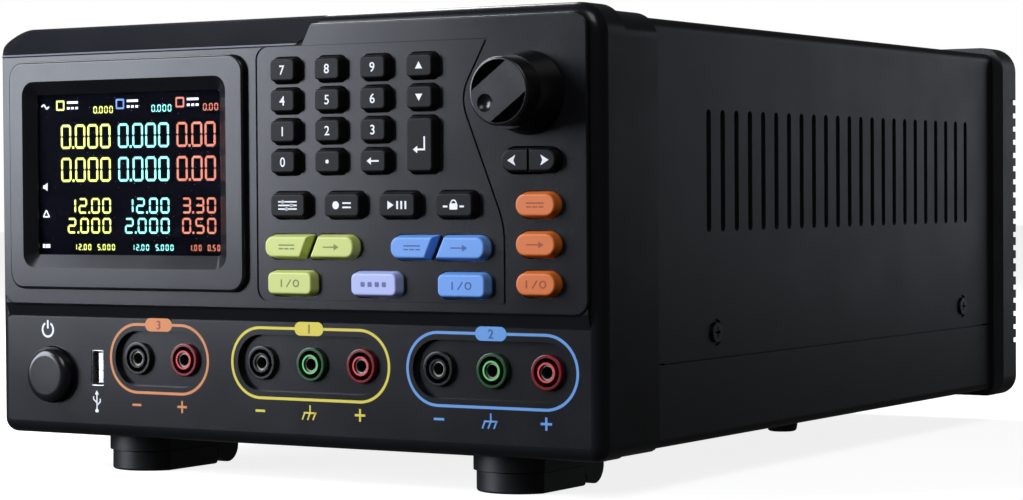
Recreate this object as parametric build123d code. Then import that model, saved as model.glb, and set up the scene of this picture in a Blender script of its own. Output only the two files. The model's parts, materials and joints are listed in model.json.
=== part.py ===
from build123d import *
import math
import os

# Bench power supply with three outputs.
# Millimetres. X runs to the right, Y to the back, Z up. The feet stand on Z = 0.
# Depths are counted from the lower front panel (y = 0) and moved to the middle of the object on export.

os.makedirs("parts", exist_ok=True)

# ---- whole object ----
WIDTH = 250.0            # over the front and rear bezels
HEIGHT = 158.0           # table to the top of the front bezel
REAR = 358.0             # back of the rear bezel
FASCIA = -2.0            # front of the raised upper fascia
KNOB_FACE = -20.0        # front of the adjusting knob, the foremost point
SHIFT = -(REAR + KNOB_FACE) / 2   # puts the middle of the whole depth at Y = 0

HALF = WIDTH / 2
GAP = 0.15               # clearance between neighbouring fixed pieces
KEY_GAP = 0.35           # clearance round a key

# ---- front bezel ----
BEZEL_BOTTOM = 13.2
RING_DEPTH = 15.5        # first, widest stage of the bezel
SKIRT_REAR = 42.0        # second stage, which laps over the case
SKIRT_INSET = 2.4
TOP_RADIUS = 10.0
BOTTOM_RADIUS = 5.0
RING_ROUND = 4.5
FASCIA_HALF = 121.0
FASCIA_LOW = 59.4
FASCIA_HIGH = 154.6
STEP_LOW = 55.3          # foot of the slope between the two halves of the front
FACET_LOW = 147.4        # lower edge of the sloped strip along the top left
FACET_DEPTH = 8.5
PLATE = 2.6              # wall of the front

# ---- case ----
CASE_HALF = 121.0
CASE_TOP = 155.0
CASE_BOTTOM = 13.9
CASE_FRONT = 24.0
CASE_REAR = 339.0
SHEET = 1.2
SEAM = 41.6
COVER_SCREWS = [(84.7, 50.3), (304.9, 50.3)]
VENT_FIRST = 80.0
VENT_PITCH = 10.4
VENT_COUNT = 23
VENT_LOW = 84.4
VENT_HIGH = 125.9
VENT_SLOT = 3.4

# ---- display ----
FRAME_X = (-116.4, -11.6)
FRAME_Z = (65.0, 145.5)
FRAME_FACE = -4.0
WINDOW_X = (-105.4, -23.6)
WINDOW_Z = (77.2, 133.9)
WINDOW_SLOPE = 4.6
LENS_FACE = -1.1
LENS_THICK = 1.0

# ---- keys ----
KEY_FACE = -5.2
KEY_BACK = 1.9
COLUMNS = [5.7, 23.9, 42.1, 60.3]
ROWS = [139.4, 129.2, 119.0, 108.8]
KEY_SIZE = (11.4, 8.6)
FUNCTION_SIZE = (15.4, 9.0)
FUNCTION_Z = 94.4
FUNCTION_X = [7.6, 29.5, 51.4, 73.3]
PAIR_Z = 80.6
OUTPUT_Z = 68.5
PILL_HEIGHT = 8.2
THIRD_X = 103.6
THIRD_Z = [94.3, 81.8, 69.3]
ROCKER = (101.2, 108.4, 21.0, 8.0)

# ---- knob ----
KNOB_X = 99.5
KNOB_Z = 129.7
KNOB_RADIUS = 10.8
SKIRT_RADIUS = 13.4
KNOB_BAR = 12.0
KNOB_BAR_ANGLE = 36.0
SHAFT_RADIUS = 3.0

# ---- lower panel ----
POWER_X = -100.0
POWER_Z = 34.5
POWER_RADIUS = 9.8
USB_X = -79.7
USB_Z = 37.4
USB_SIZE = (5.7, 12.5)
SOCKET_Z = 41.2
SOCKET_PITCH = 20.5
SOCKET_RADIUS = 5.8
SLEEVE_RADIUS = 2.6
BORE_RADIUS = 2.0
BORE_LENGTH = 20.0
SOCKET_DEPTH = 24.0
CHANNELS = {"third": (-51.8, 2), "first": (12.2, 3), "second": (83.6, 3)}
RECESS_MARGIN = 9.4      # from an end socket to the end of its recess
RECESS_HEIGHT = 19.2
RECESS_DEPTH = 2.0

# ---- feet ----
FOOT_X = 77.5
FOOT_WIDTH = 26.0
FOOT_FRONT = 13.5
FOOT_REAR = 61.2
FOOT_BOW = 8.0
LEG_TOP = 6.8
HINGE_Y = 55.0
HINGE_Z = 6.4
PIN_RADIUS = 2.0
PIN_PLAY = 0.06
LEG_NECK = 16.0
EAR_RADIUS = 6.2         # ears of a foot's base, round about the leg's pin
LEG_REAR = HINGE_Y - EAR_RADIUS - 0.4
REAR_FOOT = (60.0, 262.0)
REAR_FOOT_RADIUS = 8.0

# ---- rear ----
PANEL_FRONT = 339.2
PANEL_THICK = 1.5
RING_FRONT = 341.0
RING_BOTTOM = 10.9
RING_TOP = 157.7
RING_WALL = 9.0
RIB_PITCH = 5.6
FAN_X = 48.0
FAN_Z = 88.0
FAN_SIZE = 80.0
FAN_DEPTH = 25.0
FAN_BORE = 38.2
INLET_X = -82.0
INLET_Z = 50.0
FAN_REAR = PANEL_FRONT
FAN_FRONT = FAN_REAR - FAN_DEPTH
FAN_HOLES = 35.7
INLET_HOLE_X = (INLET_X - 14.5, INLET_X + 14.5)
INLET_HOLE_Z = (INLET_Z - 11.0, INLET_Z + 21.0)
DRAWER_X = (INLET_X - 12.0, INLET_X + 12.0)
DRAWER_Z = (INLET_Z + 11.0, INLET_Z + 19.0)
LAN_X = -92.0
USB_B_X = -64.0
PORT_Z = 104.0

# ---- inside ----
BOARD_FRONT = 6.5
TRAY_FLOOR = CASE_BOTTOM + SHEET
SOCKET_FACE = 0.4


# ---- helpers ----
def rect(x0, x1, z0, z1, radius):
    """A rounded rectangle in the front view."""
    return Pos((x0 + x1) / 2, (z0 + z1) / 2) * RectangleRounded(x1 - x0, z1 - z0, radius)


def pill(x, z, width, height, radius):
    return rect(x - width / 2, x + width / 2, z - height / 2, z + height / 2, radius)


def slab(shape, front, back, taper=0.0):
    """A front-view shape made solid between two depths; a taper narrows it towards the front."""
    return extrude(Plane.XZ.offset(-back) * shape, amount=back - front, taper=taper)


def disc(x, z, radius, front, back):
    return slab(Pos(x, z) * Circle(radius), front, back)


def block(x0, x1, y0, y1, z0, z1):
    return Pos((x0 + x1) / 2, (y0 + y1) / 2, (z0 + z1) / 2) * Box(x1 - x0, y1 - y0, z1 - z0)


def outline(half, low, high, low_radius, high_radius):
    """The front-view outline of a bezel or of the case, with its own radii at the bottom and at the top."""
    shape = Pos(0, (low + high) / 2) * Rectangle(2 * half, high - low)
    shape = fillet(shape.vertices().group_by(Axis.Y)[-1], radius=high_radius)
    return fillet(shape.vertices().group_by(Axis.Y)[0], radius=low_radius)


def save(name, *solids):
    """Writes one node: each solid of it stays a separate solid."""
    loose = []
    for solid in solids:
        loose += list(solid.solids())
    moved = [Pos(0, SHIFT, 0) * solid for solid in loose]
    export_step(Compound(children=moved) if len(moved) > 1 else moved[0], f"parts/{name}.step")


def front_edges(solid):
    return solid.edges().group_by(Axis.Y)[0]


# ---- keys: name -> front-view outline ----
def half_pill(x0, x1, z, side):
    """One half of a pill that is split by a slanting gap; side is -1 for the left half, 1 for the right one."""
    lean = 2.2
    low, high = z - PILL_HEIGHT / 2, z + PILL_HEIGHT / 2
    whole = rect(x0, x1, low, high, 3.6)
    cut = x1 - 5.0 if side < 0 else x0 + 5.0
    keep = rect(x0 - 1, cut, low - 1, high + 1, 0.4) if side < 0 else rect(cut, x1 + 1, low - 1, high + 1, 0.4)
    edge = x1 if side < 0 else x0
    wedge = Polygon((cut, low), (edge - lean, low), (edge + lean - 0.6, high), (cut, high), align=None)
    if side > 0:
        wedge = Polygon((edge - lean + 0.6, low), (cut, low), (cut, high), (edge + lean, high), align=None)
    return (whole & keep) + wedge


def key_outlines():
    keys = {}
    digits = [["7", "8", "9"], ["4", "5", "6"], ["1", "2", "3"], ["0", "point", "backspace"]]
    for z, row in zip(ROWS, digits):
        for x, name in zip(COLUMNS, row):
            keys[f"key_{name}"] = pill(x, z, *KEY_SIZE, 2.2)
    keys["key_up"] = pill(COLUMNS[3], ROWS[0], *KEY_SIZE, 2.2)
    keys["key_down"] = pill(COLUMNS[3], ROWS[1], *KEY_SIZE, 2.2)
    tall = KEY_SIZE[1] + ROWS[2] - ROWS[3]
    keys["key_enter"] = pill(COLUMNS[3], (ROWS[2] + ROWS[3]) / 2, KEY_SIZE[0], tall, 2.2)
    for x, name in zip(FUNCTION_X, ["utility", "record", "program", "lock"]):
        keys[f"key_{name}"] = pill(x, FUNCTION_Z, *FUNCTION_SIZE, 2.4)
    for name, left, middle, right in (("first", -2.6, 16.0, 34.6), ("second", 48.0, 65.6, 85.3)):
        keys[f"key_{name}_voltage"] = half_pill(left, middle - 1.0, PAIR_Z, -1)
        keys[f"key_{name}_current"] = half_pill(middle + 1.0, right, PAIR_Z, 1)
    for name, x in (("first_output", 8.0), ("mode", 41.9), ("second_output", 75.8)):
        keys[f"key_{name}"] = pill(x, OUTPUT_Z, 19.2, 8.6, 2.6)
    for name, z in zip(["third_voltage", "third_current", "third_output"], THIRD_Z):
        keys[f"key_{name}"] = pill(THIRD_X, z, 15.8, 8.4, 4.1)
    return keys


KEYS = key_outlines()


def key(shape):
    """A key: a tapered cap through the fascia, a flange behind it, and a plunger to its switch."""
    centre = shape.center()
    cap = slab(shape, KEY_FACE, FASCIA, taper=14.0)
    cap = fillet(front_edges(cap), 0.7)
    stem = slab(shape, FASCIA, KEY_BACK)
    flange = slab(offset(shape, amount=0.6), PLATE + FASCIA + 0.25, KEY_BACK)
    plunger = disc(centre.X, centre.Y, 1.6, KEY_BACK, KEY_BACK + 1.2)
    return cap + stem + flange + plunger


def rocker():
    """The arrow pair: one pill that tips a little to either side about a pin at its middle."""
    x, z, width, height = ROCKER
    cap = slab(pill(x, z, width, height, height / 2 - 0.1), KEY_FACE, FASCIA, taper=10.0)
    cap = fillet(front_edges(cap), 0.7)
    waist = slab(Pos(x, z) * Rectangle(0.9, height + 2), KEY_FACE - 1, KEY_FACE + 0.7)
    stem = slab(pill(x, z, width - 1.6, height, height / 2 - 0.1), FASCIA, KEY_BACK)
    return cap - waist + stem


# ---- front ----
def case_cavity(front, back, grow):
    low_radius, high_radius = max(1.0, 3.0 + grow), max(1.0, 4.0 + grow)
    shape = outline(CASE_HALF + grow, CASE_BOTTOM - grow, CASE_TOP + grow, low_radius, high_radius)
    return slab(shape, front, back)


def keypad_border():
    """The line round the keypad: straight, with a bay that swings round the knob."""
    left, right, low, high = -7.3, 90.4, 62.6, 147.2
    shape = Polygon((left, low), (right, low), (right, 88.0), (74.0, 129.0), (84.0, high), (left, high), align=None)
    bay = shape.vertices().sort_by_distance((74.0, 129.0))[0]
    shape = fillet(bay, radius=13.0)
    bend = shape.vertices().sort_by_distance((right, 88.0))[0]
    shape = fillet(bend, radius=30.0)
    return fillet(shape.vertices().group_by(Axis.X)[0], radius=4.0)


def channel_recess(x, count, margin, height):
    width = (count - 1) * SOCKET_PITCH + 2 * margin
    return pill(x, SOCKET_Z, width, height, height / 2 - 0.05)


def socket_places():
    places = []
    for x, count in CHANNELS.values():
        colours = ["black", "green", "red"] if count == 3 else ["black", "red"]
        start = x - (count - 1) * SOCKET_PITCH / 2
        for i, colour in enumerate(colours):
            places.append((start + i * SOCKET_PITCH, colour))
    return places


SOCKETS = socket_places()


def front_bezel():
    ring = slab(outline(HALF, BEZEL_BOTTOM, HEIGHT, BOTTOM_RADIUS, TOP_RADIUS), 0, RING_DEPTH)
    ring = fillet(front_edges(ring), RING_ROUND)
    skirt_half = HALF - SKIRT_INSET
    skirt = slab(outline(skirt_half, BEZEL_BOTTOM, HEIGHT - 1.4, 4.5, 9.0), RING_DEPTH - 1, SKIRT_REAR)
    skirt = chamfer(skirt.edges().group_by(Axis.Y)[-1], 0.8)
    body = ring + skirt
    fascia = slab(rect(-FASCIA_HALF, FASCIA_HALF, FASCIA_LOW, FASCIA_HIGH, 5.0), FASCIA, PLATE)
    fascia = fillet(front_edges(fascia), 0.6)
    slope = Plane.YZ * Polygon((FASCIA + 0.6, FASCIA_LOW + 0.5), (0, STEP_LOW), (1, STEP_LOW), (1, FASCIA_LOW + 6),
                               (FASCIA + 0.6, FASCIA_LOW + 6), align=None)
    step = extrude(slope, amount=FASCIA_HALF - 0.5, both=True)
    body = body + fascia + step
    rise = HEIGHT - FACET_LOW
    run = FACET_DEPTH - FASCIA
    length = math.hypot(rise, run)
    facet = Plane(origin=(0, FASCIA, FACET_LOW), x_dir=(1, 0, 0), z_dir=(0, -rise / length, run / length))
    strip = Polygon((-140, -6), (7, -6), (30, 25), (-140, 25), align=None)
    body -= extrude(facet * strip, amount=20)
    backing = Polygon((-140, -30), (36, -30), (36, 40), (-140, 40), align=None)
    behind = extrude(facet.offset(-PLATE) * backing, amount=40)
    body -= case_cavity(PLATE, CASE_FRONT - 3, -1.5) - behind
    body -= case_cavity(CASE_FRONT - 4, SKIRT_REAR + 1, GAP)
    body -= slab(offset(keypad_border(), 0.35) - offset(keypad_border(), -0.35), FASCIA - 1, FASCIA + 0.5)
    groove = slab(rect(-140, 140, STEP_LOW - 0.5, STEP_LOW, 0.1), -1, 0.5)
    body -= groove & slab(rect(-FASCIA_HALF, FASCIA_HALF, 0, HEIGHT, 1.0), -1, 1)
    return body


def cut_sockets(body):
    """The recessed wells of the three outputs, with a round hole for each socket."""
    for x, count in CHANNELS.values():
        body += slab(channel_recess(x, count, RECESS_MARGIN + 1.4, RECESS_HEIGHT + 2.8), 0.5, PLATE + RECESS_DEPTH)
        body -= slab(channel_recess(x, count, RECESS_MARGIN, RECESS_HEIGHT), -1, RECESS_DEPTH)
    for x, _ in SOCKETS:
        body -= disc(x, SOCKET_Z, SOCKET_RADIUS, -1, PLATE + RECESS_DEPTH + 1)
    body -= disc(POWER_X, POWER_Z, POWER_RADIUS + 0.35, -1, PLATE + 1)
    return body - slab(pill(USB_X, USB_Z, USB_SIZE[0], USB_SIZE[1], 0.5), -1, PLATE + 1)


def cut_front(body):
    """Everything that passes through the upper fascia."""
    x, z, width, height = ROCKER
    body -= slab(pill(x, z, width + 1.0, height + 1.0, height / 2 + 0.3), FASCIA - 1, PLATE + 1)
    body -= disc(KNOB_X, KNOB_Z, 4.8, FASCIA - 1, PLATE + 1)
    body -= slab(rect(FRAME_X[0] - GAP, FRAME_X[1] + GAP, FRAME_Z[0] - GAP, FRAME_Z[1] + GAP, 6.15), FASCIA - 1,
                 FASCIA + 1.0)
    body -= slab(rect(WINDOW_X[0] - 3, WINDOW_X[1] + 3, WINDOW_Z[0] - 3, WINDOW_Z[1] + 3, 2.0), FASCIA - 1, PLATE + 1)
    for shape in KEYS.values():
        body -= slab(offset(shape, amount=KEY_GAP), FASCIA - 1, PLATE + 1)
    pocket = rect(-5, 113, 63.5, 145.0, 3.0) - rect(88.5, 93.5, 63, 146, 0.5)
    return body - slab(pocket, FASCIA + PLATE, PLATE + 1)


def display_frame():
    """A raised surround whose inner walls slope down to the window."""
    plate = slab(rect(*FRAME_X, *FRAME_Z, 6.0), FRAME_FACE, FASCIA + 1.0)
    plate = fillet(front_edges(plate), 1.0)
    opening = rect(*WINDOW_X, *WINDOW_Z, 1.2)
    lip = slab(rect(WINDOW_X[0] - 2.4, WINDOW_X[1] + 2.4, WINDOW_Z[0] - 2.4, WINDOW_Z[1] + 2.4, 2.0), FASCIA + 0.5,
               LENS_FACE + 0.5)
    grow = WINDOW_SLOPE
    wide = rect(WINDOW_X[0] - grow, WINDOW_X[1] + grow, WINDOW_Z[0] - grow, WINDOW_Z[1] + grow, 5.0)
    funnel = loft([Plane.XZ.offset(-LENS_FACE) * opening, Plane.XZ.offset(-FRAME_FACE) * wide])
    hole = slab(opening, LENS_FACE - 0.01, PLATE)
    mouth = slab(wide, FRAME_FACE - 1, FRAME_FACE + 0.01)
    return plate + lip - funnel - hole - mouth


def display_lens():
    pane = rect(WINDOW_X[0] - 2, WINDOW_X[1] + 2, WINDOW_Z[0] - 2, WINDOW_Z[1] + 2, 1.5)
    return slab(pane, LENS_FACE + 0.5, LENS_FACE + 0.5 + LENS_THICK)


def lcd_module():
    """The display panel in its can, behind the window."""
    front = LENS_FACE + 0.5 + LENS_THICK + GAP
    return slab(rect(WINDOW_X[0] - 2.5, WINDOW_X[1] + 2.5, WINDOW_Z[0] - 2.5, WINDOW_Z[1] + 2.5, 1.0), front, 5.0)


def key_board():
    """The keypad's circuit board, a switch behind each key, and the rotary encoder behind the knob."""
    pieces = [slab(rect(-6, 114, 61.5, 146, 2.0), BOARD_FRONT, BOARD_FRONT + 1.6)]
    for shape in KEYS.values():
        centre = shape.center()
        pieces.append(block(centre.X - 3, centre.X + 3, KEY_BACK + 2.4, BOARD_FRONT, centre.Y - 3, centre.Y + 3))
    x, z = ROCKER[:2]
    for side in (-1, 1):
        pieces.append(block(x + side * 6 - 2, x + side * 6 + 2, KEY_BACK + 2.4, BOARD_FRONT, z - 2, z + 2))
    hole = disc(KNOB_X, KNOB_Z, SHAFT_RADIUS + 0.06, 0, BOARD_FRONT + 10)
    encoder = block(KNOB_X - 7, KNOB_X + 7, PLATE + GAP, BOARD_FRONT, KNOB_Z - 6, KNOB_Z + 6)
    board = pieces[0] - hole
    return [board] + pieces[1:] + [encoder - hole]


def adjust_knob():
    """The knob: a stepped round body whose face is cut away on both sides of a grip bar, with a finger dimple."""
    body = disc(KNOB_X, KNOB_Z, KNOB_RADIUS, KNOB_FACE, -8.0)
    body = fillet(front_edges(body), 0.8)
    skirt = slab(Pos(KNOB_X, KNOB_Z) * Circle(SKIRT_RADIUS), -13.0, FASCIA - 0.4, taper=10.0)
    body += skirt
    for side in (-1, 1):
        offset_z = side * (KNOB_BAR / 2 + 10)
        cut = Pos(KNOB_X, KNOB_Z) * Rot(0, 0, KNOB_BAR_ANGLE) * Pos(0, offset_z) * Rectangle(40, 20)
        ring = Pos(KNOB_X, KNOB_Z) * Circle(KNOB_RADIUS - 0.9)
        body -= slab(cut & ring, KNOB_FACE - 1, KNOB_FACE + 4.5)
    angle = math.radians(KNOB_BAR_ANGLE)
    dimple = Pos(KNOB_X - 6.0 * math.cos(angle), KNOB_FACE - 2.2, KNOB_Z - 6.0 * math.sin(angle)) * Sphere(3.6)
    return body - dimple - disc(KNOB_X, KNOB_Z, SHAFT_RADIUS, -14.0, 0)


def encoder_shaft():
    return disc(KNOB_X, KNOB_Z, SHAFT_RADIUS, -14.0, BOARD_FRONT + 1.0)


def power_button():
    cap = disc(POWER_X, POWER_Z, POWER_RADIUS, -4.6, 6.0)
    cap = fillet(front_edges(cap), 3.0)
    return cap + disc(POWER_X, POWER_Z, 2.5, 6.0, 20.0)


def usb_port():
    width, height = USB_SIZE
    shell = slab(pill(USB_X, USB_Z, width, height, 0.5), 0.3, 14.0)
    shell -= slab(pill(USB_X, USB_Z, width - 0.6, height - 0.6, 0.3), 0, 13.0)
    tongue = block(USB_X - 0.2, USB_X + 1.6, 1.2, 13.0, USB_Z - 5.2, USB_Z + 5.2)
    return shell + tongue


def socket_body(x):
    """A shrouded 4 mm socket: an outer collar, a ring gap for the plug's shroud, and an inner tube."""
    body = disc(x, SOCKET_Z, SOCKET_RADIUS - 0.02, SOCKET_FACE, SOCKET_DEPTH)
    body = fillet(front_edges(body), 0.4)
    gap = disc(x, SOCKET_Z, 4.7, SOCKET_FACE - 1, 17.0) - disc(x, SOCKET_Z, 3.3, SOCKET_FACE - 1, 17.0)
    return body - gap - disc(x, SOCKET_Z, SLEEVE_RADIUS, SOCKET_FACE - 1, SOCKET_FACE + 0.6 + BORE_LENGTH)


def socket_sleeve(x):
    """The plated contact tube of a socket, open at the front."""
    front = SOCKET_FACE + 0.6
    tube = disc(x, SOCKET_Z, SLEEVE_RADIUS, front, front + BORE_LENGTH)
    return tube - disc(x, SOCKET_Z, BORE_RADIUS, front - 1, front + BORE_LENGTH + 1)


# ---- feet ----
def foot_plan(x, grow, rear):
    """The plan of a front foot, with a bowed front edge."""
    half = FOOT_WIDTH / 2 + grow
    with BuildSketch() as sketch:
        with BuildLine():
            front = FOOT_FRONT - grow
            ThreePointArc((x - half, front + FOOT_BOW), (x, front), (x + half, front + FOOT_BOW))
            Line((x + half, front + FOOT_BOW), (x + half, rear))
            Line((x + half, rear), (x - half, rear))
            Line((x - half, rear), (x - half, front + FOOT_BOW))
        make_face()
    return sketch.sketch


def pin(x0, x1, radius):
    return Pos((x0 + x1) / 2, HINGE_Y, HINGE_Z) * Rot(0, 90, 0) * Cylinder(radius, x1 - x0)


def foot_base(x):
    """The fixed part of a front foot, with two ears that carry the leg's pin."""
    base = extrude(Plane.XY.offset(LEG_TOP + 0.3) * foot_plan(x, 0.8, FOOT_REAR), amount=BEZEL_BOTTOM - LEG_TOP - 0.3)
    half = FOOT_WIDTH / 2
    neck = LEG_NECK / 2
    for side in (-1, 1):
        outer, inner = x + side * (half - 0.2), x + side * (neck + 0.3)
        low, high = min(outer, inner), max(outer, inner)
        ear = block(low, high, HINGE_Y - EAR_RADIUS, HINGE_Y + EAR_RADIUS, HINGE_Z, LEG_TOP + 1)
        base += pin(low, high, EAR_RADIUS) + ear
    base -= block(x - neck - 0.3, x + neck + 0.3, LEG_REAR - 0.3, FOOT_REAR + 1, 0, HINGE_Z + 4.6)
    return base - pin(x - neck - 3.2, x + neck + 3.2, PIN_RADIUS + PIN_PLAY)


def tilt_leg(x):
    """A leg that lies flat under its base and swings down about its rear pin to tilt the unit up."""
    neck = LEG_NECK / 2
    plate = extrude(foot_plan(x, 0.0, LEG_REAR), amount=LEG_TOP)
    plate = fillet(plate.faces().sort_by(Axis.Z)[0].edges(), 0.8)
    knuckle = pin(x - neck, x + neck, 4.0) + block(x - neck, x + neck, LEG_REAR - 1, HINGE_Y, HINGE_Z - 4, LEG_TOP)
    return plate + knuckle + pin(x - neck - 3.0, x + neck + 3.0, PIN_RADIUS)


def rear_foot(x):
    height = CASE_BOTTOM
    foot = extrude(Plane.XY.offset(height) * Pos(x, REAR_FOOT[1]) * Circle(REAR_FOOT_RADIUS), amount=-height, taper=9.0)
    return fillet(foot.faces().sort_by(Axis.Z)[0].edges(), 1.5)


# ---- case ----
def shell_section(front, back):
    outer = slab(outline(CASE_HALF, CASE_BOTTOM, CASE_TOP, 3.0, 4.0), front, back)
    inner = slab(outline(CASE_HALF - SHEET, CASE_BOTTOM + SHEET, CASE_TOP - SHEET, 2.0, 3.0), front - 1, back + 1)
    return outer - inner


def top_cover():
    """The top and both sides in one bent sheet, with louvres and countersunk screw dishes in the sides."""
    cover = shell_section(CASE_FRONT, CASE_REAR)
    cover -= block(-HALF, HALF, 0, REAR, 0, SEAM + 0.3)
    slots = []
    for i in range(VENT_COUNT):
        y = VENT_FIRST + i * VENT_PITCH
        slot = Plane.YZ * Pos(y, (VENT_LOW + VENT_HIGH) / 2) * SlotOverall(VENT_HIGH - VENT_LOW, VENT_SLOT, rotation=90)
        slots.append(extrude(slot, amount=HALF, both=True))
    cover -= slots
    for y, z in COVER_SCREWS:
        axis = Pos(0, y, z) * Rot(0, 90, 0)
        cover -= axis * Cylinder(2.2, WIDTH)
        dish = axis * Cylinder(4.6, WIDTH) - axis * Cylinder(5, 2 * (CASE_HALF - 0.5))
        cover -= dish
    return cover


def bottom_tray():
    """The floor with its low sides; a lip inside the seam takes the cover's screws."""
    tray = shell_section(CASE_FRONT, CASE_REAR)
    tray -= block(-HALF, HALF, 0, REAR, SEAM - 0.3, HEIGHT)
    for side in (-1, 1):
        inner = side * (CASE_HALF - SHEET)
        lip = block(min(inner, inner - side * SHEET), max(inner, inner - side * SHEET), 50.0, 330.0, 30.0, 58.0)
        tray += lip
        for y, z in COVER_SCREWS:
            tray -= Pos(inner, y, z) * Rot(0, 90, 0) * Cylinder(1.5, 8)
    return tray


def cover_screw(side, y, z):
    """A pan-head screw through the cover into the tray's lip."""
    seat = CASE_HALF - 0.5
    head = Pos(side * (seat + 0.65), y, z) * Rot(0, 90, 0) * Cylinder(3.4, 1.3)
    shank = Pos(side * (seat - 3.0), y, z) * Rot(0, 90, 0) * Cylinder(1.5, 6.0)
    cross = Pos(side * (seat + 1.3), y, z) * (Box(1.4, 3.6, 0.8) + Box(1.4, 0.8, 3.6))
    return head + shank - cross


# ---- rear ----
def rear_bezel():
    """The rear frame: a deep ring with ribbed outer edges."""
    ring = slab(outline(HALF, RING_BOTTOM, RING_TOP, 8.0, 10.0), RING_FRONT, REAR)
    ring = fillet(ring.edges().group_by(Axis.Y)[-1], 3.0)
    wall = RING_WALL
    ring -= slab(outline(HALF - wall, RING_BOTTOM + wall, RING_TOP - wall, 4.0, 4.0), RING_FRONT - 1, REAR + 1)
    ribs = []
    count = int((RING_TOP - RING_BOTTOM - 44) / RIB_PITCH)
    for i in range(count + 1):
        z = RING_BOTTOM + 22 + i * RIB_PITCH
        for side in (-1, 1):
            ribs.append(block(side * HALF - 2.0, side * HALF + 2.0, REAR - 9.0, REAR + 1, z, z + 2.2))
    return ring - ribs


def rear_panel():
    low, high = CASE_BOTTOM + SHEET + GAP, CASE_TOP - SHEET - GAP
    half = CASE_HALF - SHEET - GAP
    panel = slab(outline(half, low, high, 1.5, 2.5), PANEL_FRONT, PANEL_FRONT + PANEL_THICK)
    panel -= disc(FAN_X, FAN_Z, FAN_BORE - 0.5, 0, REAR)
    panel -= slab(rect(*INLET_HOLE_X, *INLET_HOLE_Z, 0.5), 0, REAR)
    for x, width, height in ((LAN_X, 16.2, 13.8), (USB_B_X, 12.2, 11.2)):
        panel -= slab(pill(x, PORT_Z, width, height, 0.4), 0, REAR)
    return panel


def fan_frame():
    x, z, half = FAN_X, FAN_Z, FAN_SIZE / 2
    frame = slab(rect(x - half, x + half, z - half, z + half, 4.0), FAN_FRONT, FAN_REAR)
    frame -= disc(x, z, FAN_BORE, FAN_FRONT - 1, FAN_REAR + 1)
    for dx in (-FAN_HOLES, FAN_HOLES):
        for dz in (-FAN_HOLES, FAN_HOLES):
            frame -= disc(x + dx, z + dz, 2.2, FAN_FRONT - 1, FAN_REAR + 1)
    hub = disc(x, z, 15.0, FAN_FRONT, FAN_FRONT + 3.0)
    arms = slab(Pos(x, z) * (Rectangle(2 * FAN_BORE + 2, 4) + Rectangle(4, 2 * FAN_BORE + 2)), FAN_FRONT, FAN_FRONT + 3)
    frame = frame + (arms & disc(x, z, FAN_BORE + 0.5, FAN_FRONT, FAN_FRONT + 3)) + hub
    return frame - disc(x, z, 2.06, FAN_FRONT - 1, FAN_FRONT + 4)


def fan_rotor():
    """Hub, shaft and seven pitched blades."""
    x, z = FAN_X, FAN_Z
    front, back = FAN_FRONT + 4.0, FAN_REAR - 2.0
    rotor = disc(x, z, 15.5, front, back)
    blade = Pos(x, (front + back) / 2, z) * Pos(0, 0, 25.5) * Rot(0, 0, 40) * Box(17.0, 1.6, 22.5)
    for i in range(7):
        turn = Pos(x, 0, z) * Rot(0, i * 360 / 7, 0) * Pos(-x, 0, -z)
        rotor += turn * blade
    rotor &= disc(x, z, FAN_BORE - 1.0, front, back)
    return rotor + disc(x, z, 2.0, FAN_FRONT + 0.5, front + 1)


def fan_guard():
    """A wire guard on the back of the panel: rings joined by two crossed wires, with four eyelets."""
    y = PANEL_FRONT + PANEL_THICK + 1.2
    guard = None
    for radius in (9.0, 17.0, 25.0, 33.0, 40.0):
        ring = Pos(FAN_X, y, FAN_Z) * Rot(90, 0, 0) * Torus(radius, 0.9)
        guard = ring if guard is None else guard + ring
    reach = FAN_HOLES * math.sqrt(2)
    for angle in (45, 135):
        wire = Pos(FAN_X, y, FAN_Z) * Rot(0, angle, 0) * Cylinder(1.0, 2 * reach)
        guard += wire
    for dx in (-FAN_HOLES, FAN_HOLES):
        for dz in (-FAN_HOLES, FAN_HOLES):
            guard += disc(FAN_X + dx, FAN_Z + dz, 3.6, PANEL_FRONT + PANEL_THICK, y + 0.9)
    return guard


def mains_inlet():
    """A three-pin inlet with a fuse compartment over it, flanged on the back of the panel."""
    x, z = INLET_X, INLET_Z
    face = PANEL_FRONT + PANEL_THICK
    body = slab(offset(rect(*INLET_HOLE_X, *INLET_HOLE_Z, 0.5), -0.2), face - 26.0, face + 0.5)
    body += slab(rect(x - 25, x + 25, INLET_HOLE_Z[0] - 3, INLET_HOLE_Z[1] + 3, 2.0), face, face + 3.0)
    cavity = Pos(x, z) * Polygon((-12.2, -8.4), (12.2, -8.4), (12.2, 4.6), (8.4, 8.4), (-8.4, 8.4), (-12.2, 4.6),
                                 align=None)
    body -= slab(cavity, face - 13.5, face + 4)
    body -= slab(rect(*DRAWER_X, *DRAWER_Z, 0.3), face - 23.0, face + 4)
    for dx in (-20.0, 20.0):
        body -= disc(x + dx, z + 6, 1.7, face - 1, face + 4)
    for dx, dz in ((-7.0, -2.0), (7.0, -2.0), (0.0, 2.0)):
        body += block(x + dx - 1, x + dx + 1, face - 14, face - 1.5, z + dz - 2, z + dz + 2)
    return body


def fuse_drawer():
    """A drawer that slides out of the inlet, with a tray for the fuse and a finger lip."""
    face = PANEL_FRONT + PANEL_THICK
    play = 0.2
    tray = block(DRAWER_X[0] + play, DRAWER_X[1] - play, face - 22.0, face + 3.0, DRAWER_Z[0] + play,
                 DRAWER_Z[1] - play)
    tray -= block(DRAWER_X[0] + 2, DRAWER_X[1] - 2, face - 20.5, face - 3.0, DRAWER_Z[0] + 1.6, DRAWER_Z[1] + 1)
    lip = block(INLET_X - 6, INLET_X + 6, face + 3.0, face + 4.4, DRAWER_Z[0] + 0.6, DRAWER_Z[0] + 2.6)
    return tray + lip


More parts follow.
